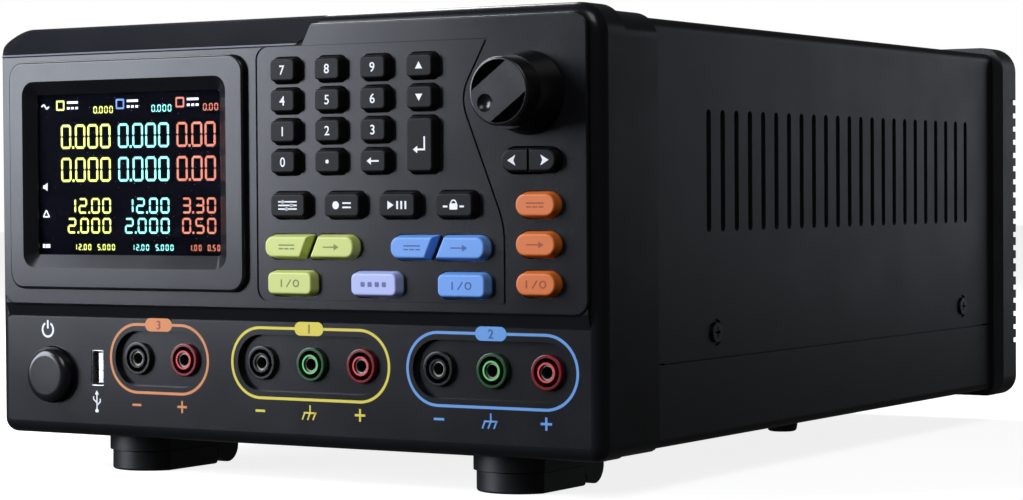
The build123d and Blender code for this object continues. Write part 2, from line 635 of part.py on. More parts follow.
def rear_ports():
    """The network jack and the square data port."""
    face = PANEL_FRONT + PANEL_THICK + 0.4
    lan = slab(pill(LAN_X, PORT_Z, 15.9, 13.5, 0.3), face - 18.0, face)
    lan -= slab(pill(LAN_X, PORT_Z + 0.6, 11.8, 8.2, 0.3), face - 14.0, face + 1)
    usb = slab(pill(USB_B_X, PORT_Z, 11.9, 10.9, 0.3), face - 16.0, face)
    usb -= slab(pill(USB_B_X, PORT_Z, 8.6, 7.9, 0.3), face - 11.0, face + 1)
    usb += block(USB_B_X - 2.8, USB_B_X + 2.8, face - 12.0, face - 2.0, PORT_Z - 1.6, PORT_Z + 1.6)
    return lan, usb


# ---- inside ----
def transformer():
    """An iron core with its winding, on two feet."""
    core = block(-105, -25, 110, 200, TRAY_FLOOR, TRAY_FLOOR + 78)
    core -= block(-106, -24, 130, 180, TRAY_FLOOR + 16, TRAY_FLOOR + 62)
    winding = block(-110, -20, 131, 179, TRAY_FLOOR + 17, TRAY_FLOOR + 61)
    return core, winding


def power_board():
    """The main circuit board on four pillars, with its tall capacitors."""
    top = TRAY_FLOOR + 8
    pieces = [block(-10, 110, 60, 300, top - 1.6, top)]
    for x in (-4, 104):
        for y in (66, 294):
            pieces.append(Pos(x, y, (TRAY_FLOOR + top - 1.6) / 2) * Cylinder(3, top - 1.6 - TRAY_FLOOR))
    for y in (90, 125, 160):
        for x in (8, 40):
            pieces.append(Pos(x, y, top + 22.5) * Cylinder(13, 45))
    return pieces


def heat_sink():
    """A finned block on the board, in line with the fan."""
    base = TRAY_FLOOR + 8
    sink = block(20, 84, 205, 290, base + 20, base + 26)
    for i in range(11):
        x = 20 + i * 6.2
        sink += block(x, x + 2, 205, 290, base + 25, base + 62)
    for x in (22, 78):
        sink += block(x, x + 4, 210, 285, base, base + 21)
    return sink


def main():
    save("front_bezel", cut_front(cut_sockets(front_bezel())))
    save("display_frame", display_frame())
    save("display_lens", display_lens())
    save("lcd_module", lcd_module())
    save("key_board", *key_board())
    for name, shape in KEYS.items():
        save(name, key(shape))
    save("key_arrows", rocker())
    save("adjust_knob", adjust_knob(), encoder_shaft())
    save("power_button", power_button())
    save("usb_port", usb_port())
    for colour in ("black", "red", "green"):
        save(f"{colour}_sockets", *[socket_body(x) for x, c in SOCKETS if c == colour])
    save("socket_sleeves", *[socket_sleeve(x) for x, _ in SOCKETS])
    save("foot_bases", foot_base(-FOOT_X), foot_base(FOOT_X))
    save("left_tilt_leg", tilt_leg(-FOOT_X))
    save("right_tilt_leg", tilt_leg(FOOT_X))
    save("rear_feet", rear_foot(-REAR_FOOT[0]), rear_foot(REAR_FOOT[0]))
    save("top_cover", top_cover())
    save("bottom_tray", bottom_tray())
    save("cover_screws", *[cover_screw(side, y, z) for side in (-1, 1) for y, z in COVER_SCREWS])
    save("rear_bezel", rear_bezel())
    save("rear_panel", rear_panel())
    save("fan_frame", fan_frame())
    save("fan_rotor", fan_rotor())
    save("fan_guard", fan_guard())
    save("mains_inlet", mains_inlet())
    save("fuse_drawer", fuse_drawer())
    save("rear_ports", *rear_ports())
    save("transformer", *transformer())
    save("power_board", *power_board())
    save("heat_sink", heat_sink())


main()
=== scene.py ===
import bpy
import bmesh
import json
import math
from mathutils import Matrix, Vector


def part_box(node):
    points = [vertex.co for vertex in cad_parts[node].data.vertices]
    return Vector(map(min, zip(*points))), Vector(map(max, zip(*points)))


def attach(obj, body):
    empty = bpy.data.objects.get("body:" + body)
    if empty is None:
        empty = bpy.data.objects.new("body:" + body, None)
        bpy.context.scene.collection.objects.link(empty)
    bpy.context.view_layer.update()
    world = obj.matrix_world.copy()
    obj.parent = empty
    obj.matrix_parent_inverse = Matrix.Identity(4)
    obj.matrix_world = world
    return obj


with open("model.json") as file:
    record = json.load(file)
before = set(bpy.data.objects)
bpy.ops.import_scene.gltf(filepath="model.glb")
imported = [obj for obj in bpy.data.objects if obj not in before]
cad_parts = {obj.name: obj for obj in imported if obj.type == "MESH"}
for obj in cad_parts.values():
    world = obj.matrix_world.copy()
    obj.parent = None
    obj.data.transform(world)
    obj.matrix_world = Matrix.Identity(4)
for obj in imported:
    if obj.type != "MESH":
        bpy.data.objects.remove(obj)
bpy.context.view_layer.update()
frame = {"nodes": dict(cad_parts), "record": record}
nodes = frame["nodes"]

# A bench power supply. Metres; X to the right, Y to the back, Z up, feet on Z = 0.
MM = 0.001

# ---- places read from the frame ----
USB_SETBACK = 0.3                                 # mm, from the lower front panel back to the data port
PANEL_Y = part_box("usb_port")[0].y - USB_SETBACK * MM

# Prints are laid out in millimetres: x and z from the frame's origin, depth from PANEL_Y backwards.
SCREEN_FACE = (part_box("lcd_module")[0].y - PANEL_Y) / MM
INK = 0.05                                        # half the thickness of printed ink
STAGGER = 0.006                                   # between crossing strokes, so that their faces don't fight

# ---- camera ----
CAMERA_PLACE = (0.5348, -0.8896, 0.0988)
CAMERA_YAW, CAMERA_PITCH, CAMERA_ROLL = -31.583, -1.276, -0.373
CAMERA_LENS = 93.64

# ---- light: name, place, target, size, watts and colour ----
COOL, WHITE = (0.84, 0.89, 1.0), (1.0, 1.0, 1.0)
LIGHTS = (
    ("sheen_light", (-1.03, -1.0, 0.53), (0, -0.169, 0.09), (0.80, 1.0), 38.0, COOL),
    ("front_light", (0.55, -1.1, 1.15), (0, -0.1, 0.08), (0.7, 0.7), 7.5, WHITE),
    ("top_light", (-0.84, 0.5, 0.87), (0, -0.1, 0.15), (0.6, 0.6), 14.0, WHITE),
    ("side_light", (0.55, 1.6, 0.3), (0.12, 0.05, 0.09), (0.6, 0.6), 1.1, COOL),
)
WORLD_LIGHT = 0.05
FLOOR_GLOW = 0.85
FLOOR_RADIUS = 6.0


# ======== materials ========
NOISE_LOW, NOISE_HIGH = 0.3, 0.7                  # where most of a noise's values lie
CLOUD = 40.0                                      # scale of the slow change of colour and gloss


def material(name, color, rough=0.5, metal=0.0, specular=0.5, emission=None, strength=0.0, transmission=0.0,
             ior=1.45):
    """A principled material; what is the same all over the surface sits on the shader's own sockets."""
    m = bpy.data.materials.new(name)
    m.use_nodes = True
    shader = m.node_tree.nodes["Principled BSDF"]
    shader.inputs["Base Color"].default_value = (*color, 1)
    shader.inputs["Roughness"].default_value = rough
    shader.inputs["Metallic"].default_value = metal
    shader.inputs["Specular IOR Level"].default_value = specular
    shader.inputs["Transmission Weight"].default_value = transmission
    shader.inputs["IOR"].default_value = ior
    if emission:
        shader.inputs["Emission Color"].default_value = (*emission, 1)
        shader.inputs["Emission Strength"].default_value = strength
    return m


def place_nodes(m):
    """The material's node tree, and a place in the object's own coordinates."""
    tree = m.node_tree
    coords = tree.nodes.new("ShaderNodeTexCoord")
    return tree, coords.outputs["Object"]


def noise(tree, vector, scale, detail, rough):
    n = tree.nodes.new("ShaderNodeTexNoise")
    n.inputs["Scale"].default_value = scale
    n.inputs["Detail"].default_value = detail
    n.inputs["Roughness"].default_value = rough
    tree.links.new(vector, n.inputs["Vector"])
    return n.outputs["Fac"]


def spread(tree, value, low, high):
    """Maps the usual range of a noise to a range from low to high."""
    n = tree.nodes.new("ShaderNodeMapRange")
    n.inputs["From Min"].default_value = NOISE_LOW
    n.inputs["From Max"].default_value = NOISE_HIGH
    n.inputs["To Min"].default_value = low
    n.inputs["To Max"].default_value = high
    tree.links.new(value, n.inputs["Value"])
    return n.outputs["Result"]


def two_tone(tree, value, dark, light):
    """A colour between two tones, over the usual range of a noise."""
    ramp = tree.nodes.new("ShaderNodeValToRGB")
    ramp.color_ramp.elements[0].position = NOISE_LOW
    ramp.color_ramp.elements[1].position = NOISE_HIGH
    ramp.color_ramp.elements[0].color = (*dark, 1)
    ramp.color_ramp.elements[1].color = (*light, 1)
    tree.links.new(value, ramp.inputs["Fac"])
    return ramp.outputs["Color"]


def bump(tree, height, strength, distance):
    n = tree.nodes.new("ShaderNodeBump")
    n.inputs["Strength"].default_value = strength
    n.inputs["Distance"].default_value = distance
    tree.links.new(height, n.inputs["Height"])
    return n.outputs["Normal"]


def textured(name, color, vary, rough, rough_vary, grain, grain_depth, strength, **more):
    """A material with fine grain in relief, whose colour and gloss change slightly over the surface."""
    m = material(name, color, rough, **more)
    tree, place = place_nodes(m)
    shader = tree.nodes["Principled BSDF"]
    large = noise(tree, place, CLOUD, 4.0, 0.6)
    fine = noise(tree, place, grain, 2.0, 0.6)
    dark = [c * (1 - vary) for c in color]
    light = [min(1.0, c * (1 + vary)) for c in color]
    tree.links.new(two_tone(tree, large, dark, light), shader.inputs["Base Color"])
    tree.links.new(spread(tree, large, rough - rough_vary, rough + rough_vary), shader.inputs["Roughness"])
    tree.links.new(bump(tree, fine, strength, grain_depth), shader.inputs["Normal"])
    return m


def layered_iron():
    """Varnished steel laminations: fine bands across the core."""
    m = material("laminations", (0.12, 0.12, 0.13), 0.45, metal=0.6)
    tree, place = place_nodes(m)
    wave = tree.nodes.new("ShaderNodeTexWave")
    wave.bands_direction = "Y"
    wave.inputs["Scale"].default_value = 320.0
    tree.links.new(place, wave.inputs["Vector"])
    shader = tree.nodes["Principled BSDF"]
    bands = wave.outputs["Fac"]
    tree.links.new(two_tone(tree, bands, (0.05, 0.05, 0.055), (0.2, 0.2, 0.21)), shader.inputs["Base Color"])
    tree.links.new(bump(tree, bands, 0.4, 0.0003), shader.inputs["Normal"])
    return m


def brushed(name, color, rough):
    """Plated or extruded metal with long fine scratches."""
    m = material(name, color, rough, metal=1.0)
    tree, place = place_nodes(m)
    stretch = tree.nodes.new("ShaderNodeMapping")
    stretch.inputs["Scale"].default_value = (60.0, 1400.0, 1400.0)
    tree.links.new(place, stretch.inputs["Vector"])
    lines = noise(tree, stretch.outputs["Vector"], 1.0, 3.0, 0.6)
    shader = tree.nodes["Principled BSDF"]
    tree.links.new(spread(tree, lines, rough - 0.1, rough + 0.12), shader.inputs["Roughness"])
    tree.links.new(bump(tree, lines, 0.15, 0.0001), shader.inputs["Normal"])
    return m


# A flat colour with fine grain, for print and for the painted highlights on the strip's edge and the socket
# rims.
def ink_and_highlight(name, color):
    return textured(name, color, 0.05, 0.5, 0.05, 3000.0, 0.00002, 0.3)


def glow(name, color, strength=1.6):
    """A lit patch of the display: the light is a little uneven, as a backlight is."""
    m = material(name, [c * 0.25 for c in color], 0.35, emission=color, strength=strength)
    tree, place = place_nodes(m)
    shader = tree.nodes["Principled BSDF"]
    soft = noise(tree, place, 30.0, 1.0, 0.4)
    tree.links.new(spread(tree, soft, strength * 0.85, strength * 1.1), shader.inputs["Emission Strength"])
    return m


LIME, BLUE = (0.52, 0.58, 0.16), (0.12, 0.29, 0.68)
LAVENDER, ORANGE = (0.38, 0.43, 0.72), (0.60, 0.14, 0.02)

MATERIALS = {
    "bezel_plastic": textured("bezel_plastic", (0.0075, 0.0078, 0.0095), 0.05, 0.235, 0.02, 1900.0, 0.00003,
                              0.2, specular=0.34),
    "rear_plastic": textured("rear_plastic", (0.016, 0.0165, 0.019), 0.08, 0.45, 0.04, 1100.0, 0.00012, 0.5),
    "case_paint": textured("case_paint", (0.0075, 0.0075, 0.009), 0.06, 0.38, 0.03, 1500.0, 0.00004, 0.25,
                           specular=0.3),
    "panel_paint": textured("panel_paint", (0.010, 0.010, 0.011), 0.06, 0.45, 0.03, 1500.0, 0.00005, 0.3),
    "key_black": textured("key_black", (0.0055, 0.0055, 0.0065), 0.08, 0.45, 0.04, 2200.0, 0.00003, 0.3,
                          specular=0.15),
    "key_lime": textured("key_lime", LIME, 0.04, 0.42, 0.04, 2200.0, 0.00002, 0.25),
    "key_blue": textured("key_blue", BLUE, 0.04, 0.42, 0.04, 2200.0, 0.00002, 0.25),
    "key_lavender": textured("key_lavender", LAVENDER, 0.04, 0.42, 0.04, 2200.0, 0.00002, 0.25),
    "key_orange": textured("key_orange", ORANGE, 0.05, 0.42, 0.04, 2200.0, 0.00002, 0.25),
    "knob_plastic": textured("knob_plastic", (0.006, 0.006, 0.007), 0.08, 0.24, 0.04, 1600.0, 0.00003, 0.2),
    "button_plastic": textured("button_plastic", (0.008, 0.008, 0.01), 0.05, 0.22, 0.03, 900.0, 0.00002,
                               0.15),
    "window": material("window", (0.97, 0.98, 1.0), 0.0, transmission=1.0, specular=0.0, ior=1.01),
    "screen": textured("screen", (0.003, 0.003, 0.005), 0.1, 0.5, 0.02, 2500.0, 0.00001, 0.05, specular=0.0),
    "socket_black": textured("socket_black", (0.006, 0.006, 0.007), 0.05, 0.25, 0.03, 1500.0, 0.00002, 0.15),
    "socket_red": textured("socket_red", (0.13, 0.002, 0.006), 0.05, 0.28, 0.03, 1500.0, 0.00002, 0.15),
    "socket_green": textured("socket_green", (0.008, 0.05, 0.014), 0.05, 0.28, 0.03, 1500.0, 0.00002, 0.15),
    "contact": brushed("contact", (0.20, 0.19, 0.17), 0.4),
    "port_metal": brushed("port_metal", (0.62, 0.62, 0.64), 0.28),
    "circuit_board": textured("circuit_board", (0.01, 0.10, 0.04), 0.15, 0.35, 0.05, 700.0, 0.0001, 0.4),
    "iron_core": layered_iron(),
    "sink_metal": brushed("sink_metal", (0.6, 0.6, 0.62), 0.35),
    "fan_plastic": textured("fan_plastic", (0.012, 0.012, 0.013), 0.05, 0.4, 0.03, 1200.0, 0.00004, 0.3),
    "wire": brushed("wire", (0.55, 0.55, 0.57), 0.22),
    "inlet_plastic": textured("inlet_plastic", (0.012, 0.012, 0.013), 0.06, 0.45, 0.04, 1400.0, 0.00005, 0.3),
    "foot_rubber": textured("foot_rubber", (0.009, 0.009, 0.01), 0.1, 0.65, 0.05, 1500.0, 0.00008, 0.5),
    "foot_plastic": textured("foot_plastic", (0.006, 0.006, 0.007), 0.06, 0.42, 0.03, 1700.0, 0.00005, 0.3),
    "screw_steel": brushed("screw_steel", (0.05, 0.05, 0.055), 0.35),
}
STRIP_GLOSS = textured("strip_gloss", (0.010, 0.011, 0.015), 0.05, 0.16, 0.02, 1500.0, 0.00001, 0.1)
# Printed inks, and two painted highlights: the paler line at the foot of the label strip and the bright rims
# of the coloured sockets.
INKS_AND_HIGHLIGHTS = {
    "white": ink_and_highlight("ink_white", (0.80, 0.81, 0.83)),
    # a painted highlight: the paler line along the edge at the foot of the label strip
    "edge": ink_and_highlight("ink_edge", (0.16, 0.165, 0.19)),
    "orange": ink_and_highlight("ink_orange", (0.58, 0.20, 0.055)),
    "yellow": ink_and_highlight("ink_yellow", (0.62, 0.52, 0.04)),
    "blue": ink_and_highlight("ink_blue", (0.10, 0.27, 0.60)),
    # painted highlights: the bright rims of the red and green sockets, brighter copies of the socket plastic
    "ring_red": ink_and_highlight("painted_rim_highlight_red", (0.60, 0.035, 0.05)),
    "ring_green": ink_and_highlight("painted_rim_highlight_green", (0.10, 0.50, 0.12)),
    "dark_lime": ink_and_highlight("ink_dark_lime", (0.16, 0.20, 0.04)),
    "dark_blue": ink_and_highlight("ink_dark_blue", (0.03, 0.08, 0.28)),
    "dark_lavender": ink_and_highlight("ink_dark_lavender", (0.10, 0.11, 0.26)),
    "dark_orange": ink_and_highlight("ink_dark_orange", (0.30, 0.045, 0.005)),
}
GLOWS = {
    "yellow": glow("glow_yellow", (0.72, 0.78, 0.10)),
    "cyan": glow("glow_cyan", (0.22, 0.78, 0.68)),
    "orange": glow("glow_orange", (0.62, 0.13, 0.04), 1.1),
    "white": glow("glow_white", (0.75, 0.78, 0.82)),
    "blue": glow("glow_blue", (0.04, 0.16, 0.62), 1.4),
}


# ======== carried-over nodes ========
def dress_nodes():
    """Gives each CAD node its material."""
    for row in frame["record"]["subparts"]:
        node = nodes[row["node"]]
        node.data.materials.clear()
        node.data.materials.append(MATERIALS[row["material_slot"]])


# ======== mesh helpers ========
def new_piece(name, mesh, look, body):
    """A piece of the visual model that moves with a body, with the look it is given."""
    piece = bpy.data.objects.new(name, mesh)
    bpy.context.scene.collection.objects.link(piece)
    mesh.materials.append(look)
    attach(piece, body)
    return piece


def mesh_of(bm, name):
    """A mesh from the finished bmesh, with its faces turned outwards."""
    mesh = bpy.data.meshes.new(name)
    bmesh.ops.recalc_face_normals(bm, faces=bm.faces)
    bm.to_mesh(mesh)
    bm.free()
    return mesh


def add_plate(bm, points, front, back):
    """A closed plate between two depths, from the points (x, z) of a simple outline."""
    faces = []
    for y in (front, back):
        faces.append(bm.faces.new([bm.verts.new((x * MM, PANEL_Y + y * MM, z * MM)) for x, z in points]))
    near, far = faces[0].verts[:], faces[1].verts[:]
    for i in range(len(points)):
        j = (i + 1) % len(points)
        bm.faces.new((near[i], near[j], far[j], far[i]))


def add_ring(bm, outer, inner, front, back):
    """A closed ring between two outlines that have the same number of points."""
    rings = []
    for y in (front, back):
        for outline in (outer, inner):
            rings.append([bm.verts.new((x * MM, PANEL_Y + y * MM, z * MM)) for x, z in outline])
    front_outer, front_inner, back_outer, back_inner = rings
    for i in range(len(outer)):
        j = (i + 1) % len(outer)
        for a, b in ((front_outer, front_inner), (front_inner, back_inner), (back_inner, back_outer),
                     (back_outer, front_outer)):
            bm.faces.new((a[i], a[j], b[j], b[i]))


def rounded(x0, x1, z0, z1, radius, steps=10):
    """The outline of a rounded rectangle as points (x, z)."""
    radius = min(radius, (x1 - x0) / 2, (z1 - z0) / 2)
    points = []
    corners = ((x1 - radius, z1 - radius, 0), (x0 + radius, z1 - radius, 90), (x0 + radius, z0 + radius, 180),
               (x1 - radius, z0 + radius, 270))
    for cx, cz, start in corners:
        for i in range(steps + 1):
            angle = math.radians(start + 90 * i / steps)
            points.append((cx + radius * math.cos(angle), cz + radius * math.sin(angle)))
    return points


def stroke(x0, z0, x1, z1, width):
    """The outline of a straight stroke with pointed ends, as a display's bar has."""
    length = math.hypot(x1 - x0, z1 - z0)
    ux, uz = (x1 - x0) / length, (z1 - z0) / length
    h = width / 2
    along = (h, length - h)
    out = [(0, 0), (along[0], h), (along[1], h), (length, 0), (along[1], -h), (along[0], -h)]
    return [(x0 + a * ux - b * uz, z0 + a * uz + b * ux) for a, b in out]


def bar(x0, z0, x1, z1, width):
    """The outline of a straight stroke with square ends."""
    length = math.hypot(x1 - x0, z1 - z0)
    ux, uz = (x1 - x0) / length, (z1 - z0) / length
    h = width / 2
    return [(x0 - h * uz, z0 + h * ux), (x1 - h * uz, z1 + h * ux), (x1 + h * uz, z1 - h * ux),
            (x0 + h * uz, z0 - h * ux)]


def print_shapes(name, outlines, look, body, y):
    """Printed marks: every outline becomes a thin closed plate on the surface at depth y."""
    bm = bmesh.new()
    for i, points in enumerate(outlines):
        add_plate(bm, points, y - INK - (i % 3) * STAGGER, y + INK)
    return new_piece(name, mesh_of(bm, name), look, body)


def text_mesh(name, words, size, bold):
    """A digit as a thin closed mesh that faces the front, centred on the origin."""
    curve = bpy.data.curves.new(name + "_curve", "FONT")
    curve.body = words
    curve.size = size
    curve.offset = bold
    curve.extrude = INK
    curve.align_x = "CENTER"
    curve.align_y = "CENTER"
    holder = bpy.data.objects.new(name + "_holder", curve)
    bpy.context.scene.collection.objects.link(holder)
    bpy.context.view_layer.update()
    mesh = bpy.data.meshes.new_from_object(holder.evaluated_get(bpy.context.evaluated_depsgraph_get()))
    bpy.data.objects.remove(holder)
    bm = bmesh.new()
    bm.from_mesh(mesh)
    bmesh.ops.remove_doubles(bm, verts=bm.verts, dist=1e-7)
    low_x, high_x = min(v.co.x for v in bm.verts), max(v.co.x for v in bm.verts)
    low_y, high_y = min(v.co.y for v in bm.verts), max(v.co.y for v in bm.verts)
    for v in bm.verts:
        v.co = Vector((v.co.x - (low_x + high_x) / 2, v.co.z, v.co.y - (low_y + high_y) / 2)) * MM
    bmesh.ops.recalc_face_normals(bm, faces=bm.faces)
    bm.to_mesh(mesh)
    bm.free()
    return mesh


def print_text(name, words, x, y, z, size, look, body, bold):
    """A digit, centred on a point (x, z) of the surface at depth y."""
    mesh = text_mesh(name, words, size, bold)
    mesh.transform(Matrix.Translation((x * MM, PANEL_Y + y * MM, z * MM)))
    return new_piece(name, mesh, look, body)


# ======== display ========
SEGMENTS = {"0": "abcdef", "1": "bc", "2": "abged", "3": "abgcd", "5": "afgcd"}

# each column: its right end, then the measured, set voltage, set current and limit readings
COLUMNS = {"yellow": (-72.6, "0.000", "12.00", "2.000", "12.00 5.000"),
           "cyan": (-46.5, "0.000", "12.00", "2.000", "12.00 5.000"),
           "orange": (-26.2, "0.00", "3.30", "0.50", "1.00 0.50")}
MEASURED_ROWS = (114.6, 102.9)                    # lower edges of the rows of readings
VOLTS_ROW, AMPS_ROW, LIMITS_ROW, TOP_ROW = 91.7, 84.7, 78.8, 126.9
TAGS = {"yellow": -97.9, "blue": -70.6, "orange": -44.0}
TAG_LOW, TAG_HIGH, TAG_WIDTH, TAG_LINE = 128.2, 131.8, 3.8, 0.6
SIDE_MARKS = {"wave": 129.7, "sound": 101.2, "warn": 91.6, "line": 80.2}
SIDE_MARKS_X = -103.0


def segment_outlines(digit, x, z, width, height, thick):
    """The bars of one seven-bar digit whose lower left corner is at x, z."""
    gap = thick * 0.12
    left, right = x + thick / 2, x + width - thick / 2
    low, middle, high = z + thick / 2, z + height / 2, z + height - thick / 2
    ends = {"a": (left, high, right, high), "b": (right, middle, right, high),
            "c": (right, low, right, middle), "d": (left, low, right, low), "e": (left, low, left, middle),
            "f": (left, middle, left, high), "g": (left, middle, right, middle)}
    shapes = []
    for letter in SEGMENTS[digit]:
        x0, z0, x1, z1 = ends[letter]
        dx, dz = (gap, 0) if z0 == z1 else (0, gap)
        shapes.append(stroke(x0 + dx, z0 + dz, x1 - dx, z1 - dz, thick))
    return shapes


def reading(words, right, z, width, height, thick, pitch):
    """A number set from its right end; a point takes a fraction of a digit's pitch."""
    shapes = []
    x = right
    for letter in reversed(words):
        if letter == ".":
            middle, half = x - pitch * 0.06, thick * 0.55
            shapes.append(rounded(middle - half, middle + half, z, z + 2 * half, thick * 0.3, 3))
            x -= pitch * 0.13
        elif letter == " ":
            x -= pitch
        else:
            x -= pitch
            shapes += segment_outlines(letter, x + (pitch - width) / 2, z, width, height, thick)
    return shapes


def show_screen():
    """What the display shows: three columns of readings, small tags over them and small marks at the left."""
    for color, (right, measured, volts, amps, limits) in COLUMNS.items():
        shapes = []
        for z in MEASURED_ROWS:
            shapes += reading(measured, right, z, 4.75, 8.6, 0.85, 5.75)
        for words, z in ((volts, VOLTS_ROW), (amps, AMPS_ROW)):
            shapes += reading(words, right, z, 3.9, 5.5, 0.72, 5.1)
        print_shapes(f"readings_{color}", shapes, GLOWS[color], "chassis", SCREEN_FACE)
        width = 1.35 if color != "orange" else 1.2
        small = reading(limits, right + 1.4, LIMITS_ROW, width, 2.2, 0.34, width + 0.75)
        small += reading(measured, right + 1.0, TOP_ROW, 1.6, 2.5, 0.36, 2.3)
        print_shapes(f"small_readings_{color}", small, GLOWS[color], "chassis", SCREEN_FACE)
    marks = []
    for color, left in TAGS.items():
        show_tag(color, left)
        marks += direct_mark(left + 5.0)
    for kind, z in SIDE_MARKS.items():
        marks += screen_mark(SIDE_MARKS_X, z, kind)
    print_shapes("screen_marks", marks, GLOWS["white"], "chassis", SCREEN_FACE)


def show_tag(color, left):
    """The small outlined square over a column."""
    right, line = left + TAG_WIDTH, TAG_LINE
    bm = bmesh.new()
    add_ring(bm, rounded(left, right, TAG_LOW, TAG_HIGH, 0.5, 3),
             rounded(left + line, right - line, TAG_LOW + line, TAG_HIGH - line, 0.3, 3),
             SCREEN_FACE - INK, SCREEN_FACE + INK)
    new_piece(f"tag_{color}", mesh_of(bm, f"tag_{color}"), GLOWS[color], "chassis")


def direct_mark(x):
    """Beside a tag: a line over three dashes."""
    dashes = [bar(x + i * 1.9, 129.0, x + i * 1.9 + 1.2, 129.0, 0.8) for i in range(3)]
    return [bar(x, 131.0, x + 5.0, 131.0, 0.8)] + dashes


def screen_mark(x, z, kind):
    """One of the small white marks at the left of the display."""
    if kind == "wave":
        return [bar(x - 1.8, z, x - 0.6, z + 0.8, 0.5), bar(x - 0.6, z + 0.8, x + 0.6, z - 0.8, 0.5),
                bar(x + 0.6, z - 0.8, x + 1.8, z, 0.5)]
    if kind == "sound":
        return [[(x - 1.3, z - 0.6), (x - 0.4, z - 0.6), (x + 0.6, z - 1.5), (x + 0.6, z + 1.5),
                 (x - 0.4, z + 0.6), (x - 1.3, z + 0.6)]]
    if kind == "warn":
        return [bar(x - 1.4, z - 1.0, x, z + 1.3, 0.45), bar(x, z + 1.3, x + 1.4, z - 1.0, 0.45),
                bar(x + 1.4, z - 1.0, x - 1.4, z - 1.0, 0.45)]
    return [bar(x - 1.7 + i * 1.25, z, x - 0.9 + i * 1.25, z, 1.3) for i in range(3)]


# ======== louvres ========
VENT_FIRST, VENT_PITCH, VENT_COUNT, VENT_SLOT = 80.0, 10.4, 23, 3.4
VENT_LOW, VENT_HIGH = 84.4, 125.9
FIN_START, FIN_REACH, FIN_SHEET = 1.25, 3.4, 0.8  # in from the cover's face, further in, and thickness
FIN_SLANT, FIN_PAST = 1.3, 0.6                    # forward lean per mm inwards, and reach past the slots


def vent_fins():
    """Behind each slot of the cover a thin fin leans inwards and forwards, so that no one can see in."""
    cover_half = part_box("top_cover")[1].x / MM
    bm = bmesh.new()
    for side in (-1, 1):
        outer = side * (cover_half - FIN_START)
        inner = outer - side * FIN_REACH
        for i in range(VENT_COUNT):
            near = VENT_FIRST + i * VENT_PITCH + VENT_SLOT / 2
            far = near - FIN_REACH * FIN_SLANT
            section = [(outer, near), (outer, near + FIN_SHEET), (inner, far + FIN_SHEET), (inner, far)]
            ends = [[bm.verts.new((x * MM, PANEL_Y + y * MM, z * MM)) for x, y in section]
                    for z in (VENT_LOW - FIN_PAST, VENT_HIGH + FIN_PAST)]
            bm.faces.new(ends[0])
            bm.faces.new(ends[1])
            for a in range(4):
                b = (a + 1) % 4
                bm.faces.new((ends[0][a], ends[0][b], ends[1][b], ends[1][a]))
    new_piece("vent_fins", mesh_of(bm, "vent_fins"), MATERIALS["case_paint"], "chassis")


# ======== printed marks on the front ========
# each output: its outline's left and right, its number, the signs of its sockets and their places
OUTPUTS = {"orange": (-73.4, -30.5, "3", ((-61.95, "-"), (-41.9, "+"))),
           "yellow": (-20.0, 44.4, "1", ((-8.3, "-"), (12.4, "ground"), (32.7, "+"))),
           "blue": (51.7, 115.9, "2", ((63.8, "-"), (83.6, "ground"), (104.3, "+")))}
NUMBER_INKS = {"orange": "dark_orange", "yellow": "dark_lime", "blue": "dark_blue"}
OUTLINE_LOW, OUTLINE_HIGH, OUTLINE_RADIUS, OUTLINE_WIDTH = 29.4, 53.1, 11.8, 0.95
BADGE_HALF, BADGE_RISE = 5.9, 2.3
BADGE_FACE, NUMBER_FACE = -0.03, -0.12            # depths of the badge over the outline, and of its number
SIGNS_Z = 25.0
COLORED_SOCKETS = {"red": (-41.55, 32.7, 104.1), "green": (12.2, 83.6)}
RIM_OUTER, RIM_INNER, RIM_THICK, RIM_POINTS = 3.22, 2.66, 0.04, 48


def ring_line(name, x0, x1, z0, z1, radius, width, look):
    """A printed line along a rounded rectangle on the lower panel."""
    bm = bmesh.new()
    h = width / 2
    add_ring(bm, rounded(x0 - h, x1 + h, z0 - h, z1 + h, radius + h, 24),
             rounded(x0 + h, x1 - h, z0 + h, z1 - h, radius - h, 24), -INK, INK)
    new_piece(name, mesh_of(bm, name), look, "chassis")


def ground_mark(x, z, size):
    """The sign of a connection to the chassis: a stem, a bar and three slanting lines."""
    w = size * 0.11
    shapes = [bar(x, z + size * 0.5, x, z, w), bar(x - size * 0.5, z, x + size * 0.5, z, w)]
    for i in (-1, 0, 1):
        start = x + i * size * 0.42
        shapes.append(bar(start, z, start - size * 0.2, z - size * 0.45, w))
    return shapes


def polarity_marks(x, z, sign):
    """A minus, a plus or the ground sign under a socket."""
    if sign == "-":
        return [bar(x - 2.0, z, x + 2.0, z, 0.8)]
    if sign == "+":
        return [bar(x - 2.1, z, x + 2.1, z, 0.8), bar(x, z - 2.1, x, z + 2.1, 0.79)]
    return ground_mark(x, z, 5.2)


def output_prints():
    """The coloured outline of each output with its number and the signs of its sockets."""
    for color, (left, right, number, signs) in OUTPUTS.items():
        ring_line(f"outline_{color}", left, right, OUTLINE_LOW, OUTLINE_HIGH, OUTLINE_RADIUS, OUTLINE_WIDTH,
                  INKS_AND_HIGHLIGHTS[color])
        middle = (left + right) / 2
        badge = rounded(middle - BADGE_HALF, middle + BADGE_HALF, OUTLINE_HIGH - BADGE_RISE,
                        OUTLINE_HIGH + BADGE_RISE, 2.25, 10)
        print_shapes(f"badge_{color}", [badge], INKS_AND_HIGHLIGHTS[color], "chassis", BADGE_FACE)
        print_text(f"badge_number_{color}", number, middle, NUMBER_FACE, OUTLINE_HIGH, 4.2,
                   INKS_AND_HIGHLIGHTS[NUMBER_INKS[color]], "chassis", 0.05)
        shapes = []
        for x, sign in signs:
            shapes += polarity_marks(x, SIGNS_Z, sign)
        print_shapes(f"signs_{color}", shapes, INKS_AND_HIGHLIGHTS[color], "chassis", 0.0)


